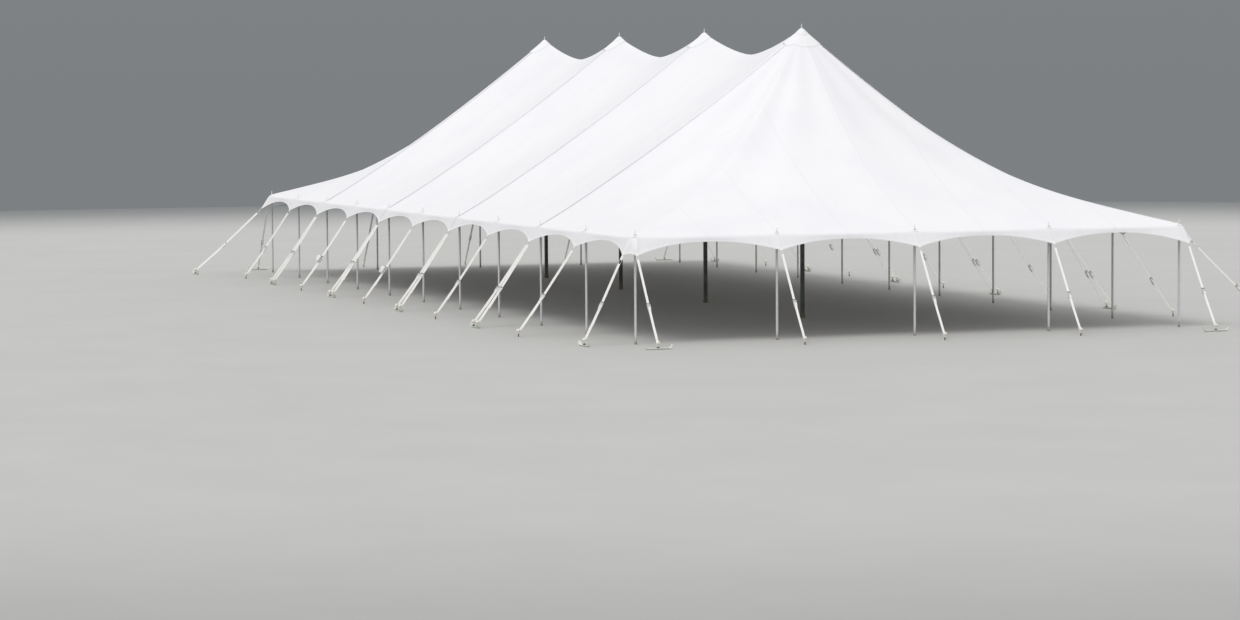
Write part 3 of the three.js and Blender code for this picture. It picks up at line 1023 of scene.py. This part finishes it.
def hem(edge):
    """Hem band: it goes on down the roof's slope, bends, and hangs to a bound lower edge."""
    line, tips = edge["line"], edge["tips"]
    pleats, waves, bound = 0.006, 0.004, 0.0016
    columns = straight_hem(line, edge["ends"], tips)
    if edge["end"]:
        left, right = corner_hem(edge["end"], -1), corner_hem(edge["end"], 1)
        columns = left + columns + right[::-1]
    upper = (0, 0.028, 0.050, 0.067, 0.085, 0.103, 0.122)
    cloth_rows, rows = len(upper) + 4, len(upper) + 7

    def lie(i, j):
        """Distance down the hem, the hem's whole depth, the point, its place and its way out."""
        top, low, out, along = columns[i]
        start = top + UP * pole_lift(top.x, top.y)
        slope = out * EAVE_SLOPE[0] - UP * EAVE_SLOPE[1]
        knee = start + slope * BEND
        hang = low - knee
        total = BEND + hang.length
        last = total - EDGING
        if j < len(upper):
            down = upper[j]
        elif j <= cloth_rows:
            down = mix(upper[-1], last, (j - len(upper) + 1) / (cloth_rows - len(upper) + 1))
        else:
            down = mix(last + 0.003, total, (j - cloth_rows - 1) / (rows - cloth_rows - 1))
        hang = hang.normalized()
        past = down - BEND
        if abs(past) < BEND_ROUND:
            t = (past + BEND_ROUND) / (2 * BEND_ROUND)
            point = knee + (slope * -((1 - t) ** 2) + hang * t * t) * BEND_ROUND
        else:
            point = knee + (slope if past < 0 else hang) * past
        return down, total, point, along, out

    def place(i, j):
        down, total, point, along, out = lie(i, j)
        near = min(tips, key=lambda tip: abs(tip - along))
        away, below, t = along - near, total - down, down / total
        pleat = pleats * math.sin(6.5 * math.atan2(away, below + 0.03) + 1.9 * near)
        slack = waves * noise.noise(Vector((along * 2.1, t * 1.5, 5.0)))
        bulge = (pleat * math.exp(-abs(away) / 0.45) + slack) * 4 * t * (1 - t)
        sewn = bound if j > cloth_rows else 0
        return point + (out * 0.8 + UP * 0.6) * (bulge + sewn)

    def uv(i, j, column, row):
        down, total, _, along, _ = lie(i, j)
        return (down - total + EDGING / 2, along) if row >= cloth_rows else (along, down)

    def finish(column, row):
        return 1 if row >= cloth_rows else 0

    bm = grid_sheet(len(columns) - 1, rows, place, uv, finish)
    face_towards(bm, line["out"])
    thicken(bm, CLOTH_THICK)
    word = edge["word"]
    return piece(f"hem_{word}", bm, ("hem_cloth", "binding"), "hem_and_webbing",
                 f"guyed_edge_{word}", angle=60)


# ---------------------------------------------------------------- guys


def guy_layout(line, guy):
    """Start, foot and directions of a guy, and where along it the cloth's point is.

    The straps of the long sides are turned, so that their faces show from the front.
    """
    tip = line["at"](guy.tip) + line["out"] * (TIP_OUT - 0.004) - UP * (TIP_DROP + 0.003)
    foot = line["at"](guy.stake) + line["out"] * guy.reach
    foot.z = STRAP_FOOT
    along = (foot - tip).normalized()
    level = UP.cross(line["out"])
    level = (level - along * level.dot(along)).normalized()
    uneven = 6 * noise.noise(Vector((guy.stake, guy.reach, 4.0))) + 4 * line["out"].y
    swing = line["out"].y * math.radians(STRAP_TURN + uneven)
    across = level * math.cos(swing) + along.cross(level) * math.sin(swing)
    cloth = 0.0 if abs(guy.tip) > line["limit"] else -CLOTH_BACK
    return tip, foot, along, across, along.cross(across), cloth


def link_start(line, cloth):
    """Where the metal link starts. The tab of a corner's side guy holds it further out."""
    return cloth + (SIDE_TAB if cloth == 0 and line["long"] else 0)


def lay_strap(bm, rows, path, across, length, width=STRAP_WIDTH, thick=0.003, start=0.0, turn=0.0):
    """Webbing along path(t), with t from 0 to 1, its width in the direction across.

    It may turn to face the given way over its last part.
    """
    face = (path(1) - path(0)).cross(across).normalized() if turn else across

    def place(i, j):
        swing = eased((j / rows - 1 + turn) / turn) * math.pi / 2 if turn else 0
        wide = across * math.cos(swing) + face * math.sin(swing)
        return path(j / rows) + wide * (i / 2 - 0.5) * width

    def uv(i, j, column, row):
        return (i / 2 - 0.5) * width, start + j / rows * length

    strip = grid_sheet(2, rows, place, uv)
    thicken(strip, thick)
    bmesh.ops.recalc_face_normals(strip, faces=strip.faces[:])
    add_part(bm, strip)


def corner_tab(bm, line, tip, along, stop):
    """Webbing of a corner's side guy, from the cloth's corner along the guy to its link."""
    end = math.copysign(1, tip.x)
    corner = Vector((end * HALF_LENGTH, line["out"].y * HALF_WIDTH, EAVE))
    down = (tip - corner).normalized()
    outwards = Vector((0.8 * end, 0.3 * line["out"].y, 0.5))

    def path(t):
        run = mix(-0.10, stop, t)
        aside = Vector((0.026 * end * (1 - t), 0, 0))
        return tip + (along if run > 0 else down) * run + outwards * 0.005 + aside

    lay_strap(bm, 9, path, along.cross(outwards).normalized(), 0.20, 0.050, 0.007)


def stake_sling(bm, out, foot):
    """Loop of webbing round a stake, lower on its outer side."""
    height, radius = 0.086, 0.0185

    def path(t):
        swing = 2 * math.pi * t
        way = out * math.cos(swing) + UP.cross(out) * math.sin(swing)
        tilt = 0.4 * math.cos(swing)
        return Vector((foot.x, foot.y, height)) + (way - UP * tilt) * radius

    lay_strap(bm, 24, path, UP, 0.12, 0.038)


def spare_roll(bm, centre, along, across, face):
    """Hank of spare strap, rolled up loosely beside the ratchet."""

    def path(t):
        swing = 9.3 * 2 * math.pi * t
        away = 0.012 + 0.026 * t + 0.003 * math.sin(2.7 * swing)
        bow = 0.020 * math.sin(1.3 * swing + 1)
        return (centre + along * (0.046 + away) * math.sin(swing) + across * bow
                + face * away * math.cos(swing))

    lay_strap(bm, 240, path, across, 3.4, start=0.4)


def guy_webbing(bm, line, guy, spare):
    """Hem loop, upper strap with its sewn end, turns on the spool, lower strap, sling and tail."""
    tip, foot, along, across, face, cloth = guy_layout(line, guy)
    whole = (foot - tip).length
    middle = whole * RATCHET_AT
    leaves = middle + 0.046
    eye = link_start(line, cloth) + LINK
    loop = eye - LINK + 0.012
    doubled, doubled_width = 0.0035, 0.047

    def straight(start, stop, lift=0.0):
        return lambda t: tip + along * mix(start, stop, t) + face * lift

    def lower(t):
        return tip + along * mix(leaves, whole - 0.022, t) + UP * 0.048 * t

    if cloth == 0 and line["long"]:
        corner_tab(bm, line, tip, along, loop)
    else:
        lay_strap(bm, 5, straight(cloth - 0.06, loop, 0.003), across, 0.17, 0.044, 0.007)
    lay_strap(bm, 10, straight(eye - 0.008, middle - 0.03), across, middle - eye)
    lay_strap(bm, 3, straight(eye - 0.008, eye + 0.18, doubled), across, 0.188, doubled_width)
    lay_strap(bm, 24, lower, across, whole - middle, start=1.3, turn=0 if line["long"] else 0.07)
    lay_strap(bm, 3, straight(leaves, middle + 0.19, doubled), across, 0.144, doubled_width)
    turn = Matrix((along, across, face)).transposed().to_4x4()
    at_spool = tip + along * (middle - 0.020) + face * 0.008
    add_part(bm, rod(0.0165, 0.047, 16), Matrix.Translation(at_spool) @ turn)
    stake_sling(bm, line["out"], foot)
    if spare:
        beside = tip + along * (middle - 0.005) - across * 0.048 + face * 0.038
        spare_roll(bm, beside, along, across, face)
    lean = 0.010 * noise.noise(Vector((foot.x, foot.y, 1.0)))

    def tail(t):
        lift = 0.005 + 0.019 * eased(1 - 3.6 * t) + 0.002 * math.sin(9 * t + foot.x) * t
        return tip + along * (middle - 0.022 + 0.44 * t) + face * lift + across * lean * t

    lay_strap(bm, 22, tail, across, 0.44, start=0.7)


def wire_ring(radius, wire, stretch):
    """A closed link of round wire, longer one way than the other."""
    bm = bmesh.new()
    section = bmesh.ops.create_circle(
        bm, segments=8, radius=wire,
        matrix=Matrix.Translation((radius, 0, 0)) @ Matrix.Rotation(math.pi / 2, 4, "X"),
    )["verts"]
    bmesh.ops.spin(bm, geom=section + bm.edges[:], axis=(0, 0, 1), cent=(0, 0, 0),
                   angle=2 * math.pi, steps=28, use_merge=True)
    bmesh.ops.remove_doubles(bm, verts=bm.verts[:], dist=1e-6)
    bmesh.ops.scale(bm, vec=(stretch, 1, 1), verts=bm.verts[:])
    bmesh.ops.recalc_face_normals(bm, faces=bm.faces[:])
    return bm


def toothed_wheel(radius, teeth, thick):
    """Ratchet wheel with slanting teeth."""
    bm = bmesh.new()
    rim = bmesh.ops.create_circle(bm, cap_ends=True, segments=teeth * 3, radius=radius)["verts"]
    for v in rim:
        number = round(math.atan2(v.co.y, v.co.x) / (2 * math.pi) * teeth * 3) % 3
        v.co *= (1.0, 0.90, 0.78)[number]
    made = bmesh.ops.extrude_face_region(bm, geom=bm.faces[:])["geom"]
    bmesh.ops.translate(bm, vec=(0, 0, thick),
                        verts=[g for g in made if isinstance(g, bmesh.types.BMVert)])
    bmesh.ops.recalc_face_normals(bm, faces=bm.faces[:])
    bmesh.ops.transform(bm, matrix=Matrix.Rotation(math.pi / 2, 4, "X"), verts=bm.verts[:])
    return bm


def ratchet():
    """Ratchet buckle: side plates, spool pin, wheels, bolt, and a folded handle with its grip."""
    bm = bmesh.new()
    for side in (-1, 1):
        add_part(bm, rounded_bar((0.118, 0.003, 0.034), 0.013, 1, (0.004, side * 0.0285, 0.006)))
        add_part(bm, rounded_bar((0.124, 0.003, 0.020), 0.009, 1, (-0.044, side * 0.0335, 0.013)))
        add_part(bm, toothed_wheel(0.021, 11, 0.004),
                 Matrix.Translation((-0.020, side * 0.0255 + 0.002, 0.010)))
        add_part(bm, rod(0.011, 0.006, 6), Matrix.Translation((-0.020, side * 0.038, 0.010)))
    add_part(bm, rod(0.0075, 0.074), Matrix.Translation((-0.020, 0, 0.010)))
    add_part(bm, rod(0.0055, 0.068), Matrix.Translation((0.049, 0, 0.002)))
    add_part(bm, rod(0.0085, 0.074), Matrix.Translation((-0.100, 0, 0.0145)), 1)
    add_part(bm, rounded_bar((0.034, 0.060, 0.003), 0.008, 2, (-0.066, 0, 0.0175)))
    return bm


def ground_plate():
    """Flat bar under a stake, with its ends turned up and its long rims raised a little."""
    columns, rows = 32, 8
    half, bend, radius, angle = 0.35, 0.228, 0.045, 1.25
    arc = 0.05625  # length of the bend, its radius times its angle
    rim_height, rim_end, rim_fade = 0.024, 0.315, 0.06

    def place(i, j):
        run = abs(2 * i / columns - 1) * half
        turn = min(angle, max(0.0, (run - bend) / radius))
        straight = max(0.0, run - bend - arc)
        x = min(run, bend) + radius * math.sin(turn) + straight * math.cos(angle)
        z = radius * (1 - math.cos(turn)) + straight * math.sin(angle)
        x = math.copysign(min(x, PLATE_LENGTH / 2), i - columns / 2) if i != columns / 2 else 0
        side = (j / rows - 0.5) * PLATE_WIDTH
        rim = rim_height * abs(2 * j / rows - 1) ** 5 * eased((rim_end - run) / rim_fade)
        return Vector((x, side, PLATE_THICK + z + rim))

    bm = grid_sheet(columns, rows, place, lambda i, j, column, row: (i * 0.02, j * 0.009))
    face_towards(bm, UP)
    thicken(bm, 0.006)
    return bm


def guys(edge):
    """Straps of one guyed edge, and its links, ratchets, stakes, caps and ground plates."""
    line, word = edge["line"], edge["word"]
    rolled = ROLLED.get(word)
    straps, metal = bmesh.new(), bmesh.new()
    for guy in edge["guys"]:
        tip, foot, along, across, face, cloth = guy_layout(line, guy)
        guy_webbing(straps, line, guy, rolled is not None and abs(guy.tip - rolled) < 0.1)
        turn = Matrix((along, across, face)).transposed().to_4x4()
        at_link = tip + along * (link_start(line, cloth) + LINK / 2)
        at_ratchet = tip + along * ((foot - tip).length * RATCHET_AT)
        ground = Matrix.Translation((foot.x, foot.y, 0))
        fittings = [("link", Matrix.Translation(at_link) @ turn, 0),
                    ("ratchet", Matrix.Translation(at_ratchet) @ turn, 0),
                    ("stake", ground, 2), ("cap", ground, 3)]
        if guy.collar:
            fittings.append(("collar", ground, 2))
        if guy.plate is not None:
            swing = math.atan2(line["out"].x, -line["out"].y)
            spot = line["at"](guy.plate) + line["out"] * guy.reach
            lie = Matrix.Translation((spot.x, spot.y, 0)) @ Matrix.Rotation(swing, 4, "Z")
            fittings.append(("plate", lie, 4))
        for part, place, finish in fittings:
            add_part(metal, PARTS[part], place, finish, keep=True)
    piece(f"straps_{word}", straps, ("webbing",), "hem_and_webbing", angle=40)
    piece(f"fittings_{word}", metal,
          ("ratchet_zinc", "grip_plastic", "stake_steel", "cap_plastic", "plate_zinc"),
          "side_pole_metal", angle=30)


# ---------------------------------------------------------------- poles


def side_pole(name, node, x, y):
    """Round tube with a foot, a shoulder and a pin that goes through the cloth."""
    tube = turned([(0, 0), (0.024, 0), (0.0265, 0.003), (0.0265, 0.046), (0.025, 0.050),
                   (0.025, 2.126), (0.0235, 2.132), (0.013, 2.164), (0.0095, 2.168),
                   (0, 2.168)], 24)
    pin = turned([(0, 2.160), (0.0085, 2.160), (0.0085, 2.274), (0.006, 2.286), (0, 2.290)], 16)
    add_part(tube, pin, None, 1)
    bmesh.ops.translate(tube, vec=(x, y, 0), verts=tube.verts[:])
    piece(name, tube, ("pole_zinc", "bright_pin"), "side_pole_metal", node)


def centre_pole(name, node, x):
    """Thick painted pole in two lengths with a sleeve, and a steel pin at its head."""
    bm = turned([(0, 0), (0.054, 0), (0.058, 0.004), (0.058, 0.070), (0.050, 0.078),
                 (0.050, 3.060), (0.0535, 3.064), (0.0535, 3.296), (0.050, 3.300),
                 (0.050, 6.326), (0.047, 6.340), (0.030, 6.366), (0, 6.366)], 32)
    pin = turned([(0, 6.360), (0.012, 6.360), (0.012, 6.486), (0.009, 6.502), (0, 6.510)], 20)
    add_part(bm, pin, None, 1)
    bmesh.ops.translate(bm, vec=(x, 0, 0), verts=bm.verts[:])
    piece(name, bm, ("pole_paint", "pin_steel"), "centre_pole_paint", node)


# ---------------------------------------------------------------- the tent

photo_camera()
studio_light()

GROUPS = {
    "scrim_weave": scrim_group(),
    "weathering": weather_group(),
    "ground_dust": ground_dust_group(),
    "metal_surface": metal_group(),
}
FINISHES = (
    (cloth_finish, "roof_cloth", (0.885, 0.885, 0.915), (0.845, 0.845, 0.885),
     (0.72, 0.72, 0.74), 0.10, (0.81, 0.81, 0.85), 0.42),
    # The underside's colours are greyer and warmer than the top's: painted shade. Its heavier
    # streaks are dirt.
    (cloth_finish, "roof_inside", (0.83, 0.82, 0.80), (0.78, 0.77, 0.75),
     (0.64, 0.63, 0.60), 0.20, (0.72, 0.71, 0.69), 0.55),
    (cloth_finish, "flap_cloth", (0.865, 0.865, 0.895), (0.82, 0.82, 0.86),
     (0.66, 0.66, 0.68), 0.15, (0.81, 0.81, 0.85), 0.45),
    (cloth_finish, "patch_cloth", (0.885, 0.885, 0.91), (0.85, 0.85, 0.885),
     (0.70, 0.70, 0.715), 0.12, (0.82, 0.82, 0.855), 0.45),
    # The hem's last three colours are painted shade past the bend: on the sides, on the ends, in
    # the left corners.
    (cloth_finish, "hem_cloth", (0.885, 0.885, 0.915), (0.845, 0.845, 0.885),
     (0.66, 0.66, 0.67), 0.20, (0.80, 0.80, 0.83), 0.46,
     ((0.885, 0.88, 0.875), (0.97, 0.965, 0.96), (0.80, 0.795, 0.79))),
    (webbing_finish, "binding", (0.80, 0.80, 0.815), (0.74, 0.74, 0.75), (0.47, 0.43, 0.34)),
    (webbing_finish, "webbing", (0.93, 0.92, 0.90), (0.84, 0.83, 0.80), (0.56, 0.52, 0.42)),
    (rope_finish, "rope"),
    (zinc_finish, "pole_zinc", (0.66, 0.67, 0.68), (0.54, 0.55, 0.56), 55, 0.45, 0.30, 0.45),
    (zinc_finish, "pin_steel", (0.74, 0.74, 0.75), (0.60, 0.60, 0.61), 90, 0.38, 0.01, 0.4),
    (zinc_finish, "bright_pin", (0.88, 0.88, 0.88), (0.76, 0.76, 0.77), 110, 0.42, 0.01, 0.2),
    (zinc_finish, "ratchet_zinc", (0.78, 0.78, 0.77), (0.64, 0.64, 0.63), 120, 0.38, 0.10, 0.35),
    # Stakes and collars: dark rusty steel, made darker still as painted shadow under the caps.
    (zinc_finish, "stake_steel", (0.20, 0.185, 0.17), (0.11, 0.10, 0.09), 60, 0.60, 0.20, 0.6, 0.3),
    (zinc_finish, "plate_zinc", (0.82, 0.85, 0.79), (0.71, 0.75, 0.68), 45, 0.50, 0.012, 0.15),
    (paint_finish, "pole_paint", (0.055, 0.070, 0.062), (0.32, 0.32, 0.31), 0.48),
    (plastic_finish, "grip_plastic", (0.18, 0.18, 0.185), (0.25, 0.25, 0.25)),
    (plastic_finish, "cap_plastic", (0.86, 0.84, 0.76), (0.70, 0.67, 0.58)),
    (floor_finish, "floor"),
)
FINISH = {name: make(name, *values) for make, name, *values in FINISHES}
PARTS = {
    "link": wire_ring(0.025, 0.0042, LINK / 0.0542),
    "ratchet": ratchet(),
    "stake": turned([(0, 0), (0.0127, 0), (0.0127, 0.128), (0, 0.128)], 12),
    "cap": turned([(0, 0.104), (0.020, 0.104), (0.022, 0.110), (0.036, 0.113), (0.0405, 0.121),
                   (0.0395, 0.143), (0.036, 0.153), (0.029, 0.161), (0.018, 0.167),
                   (0.008, 0.1695), (0, 0.170)], 28),
    "plate": ground_plate(),
    # The collar's dark steel is partly painted shadow under the cap.
    "collar": turned([(0.0135, 0.010), (0.027, 0.010), (0.029, 0.014), (0.029, 0.044),
                      (0.026, 0.050), (0.0135, 0.052), (0.0135, 0.010)], 20),
}

studio_floor()

roofs = {"front": end_roof("front", 1)}
for number in (1, 2, 3):
    roofs[str(number)] = middle_roof(number)
roofs["back"] = end_roof("back", -1)

on_roof = {word: [] for word in roofs}
for number, (peak, word) in enumerate(zip(PEAKS, ("front", "1", "2", "back")), 1):
    on_roof[word] += [rain_flap(number, peak), peak_patch(number, peak), peak_cap(number, peak),
                      lacing(number, peak)]
stations = [HALF_LENGTH - number * BAY for number in range(11)]
runs = {"front": (0, 1, 2), "1": (3, 4), "2": (5, 6), "3": (7, 8), "back": (9, 10)}
for word, run in runs.items():
    places = [(stations[n], side * HALF_WIDTH) for n in run for side in (-1, 1)]
    if word in ("front", "back"):
        places += [(math.copysign(HALF_LENGTH, stations[run[0]]), k * BAY) for k in (-1, 0, 1)]
    on_roof[word].append(pole_patches(word, places))

for edge in tent_edges():
    hem_band = hem(edge)
    guys(edge)

for number, x in enumerate(stations):
    for side, hand in ((-1, "left"), (1, "right")):
        side_pole(f"{hand}_pole_{number}", f"pole_{hand}_{number}", x, side * HALF_WIDTH)
for end, word in ((1, "front"), (-1, "back")):
    for number in (1, 2, 3):
        side_pole(f"{word}_pole_{number}", f"pole_{word}_{number}", end * HALF_LENGTH,
                  (number - 2) * BAY)
for number, peak in enumerate(PEAKS, 1):
    centre_pole(f"middle_pole_{number}", f"centre_pole_{number}", peak)

for part in PARTS.values():
    part.free()
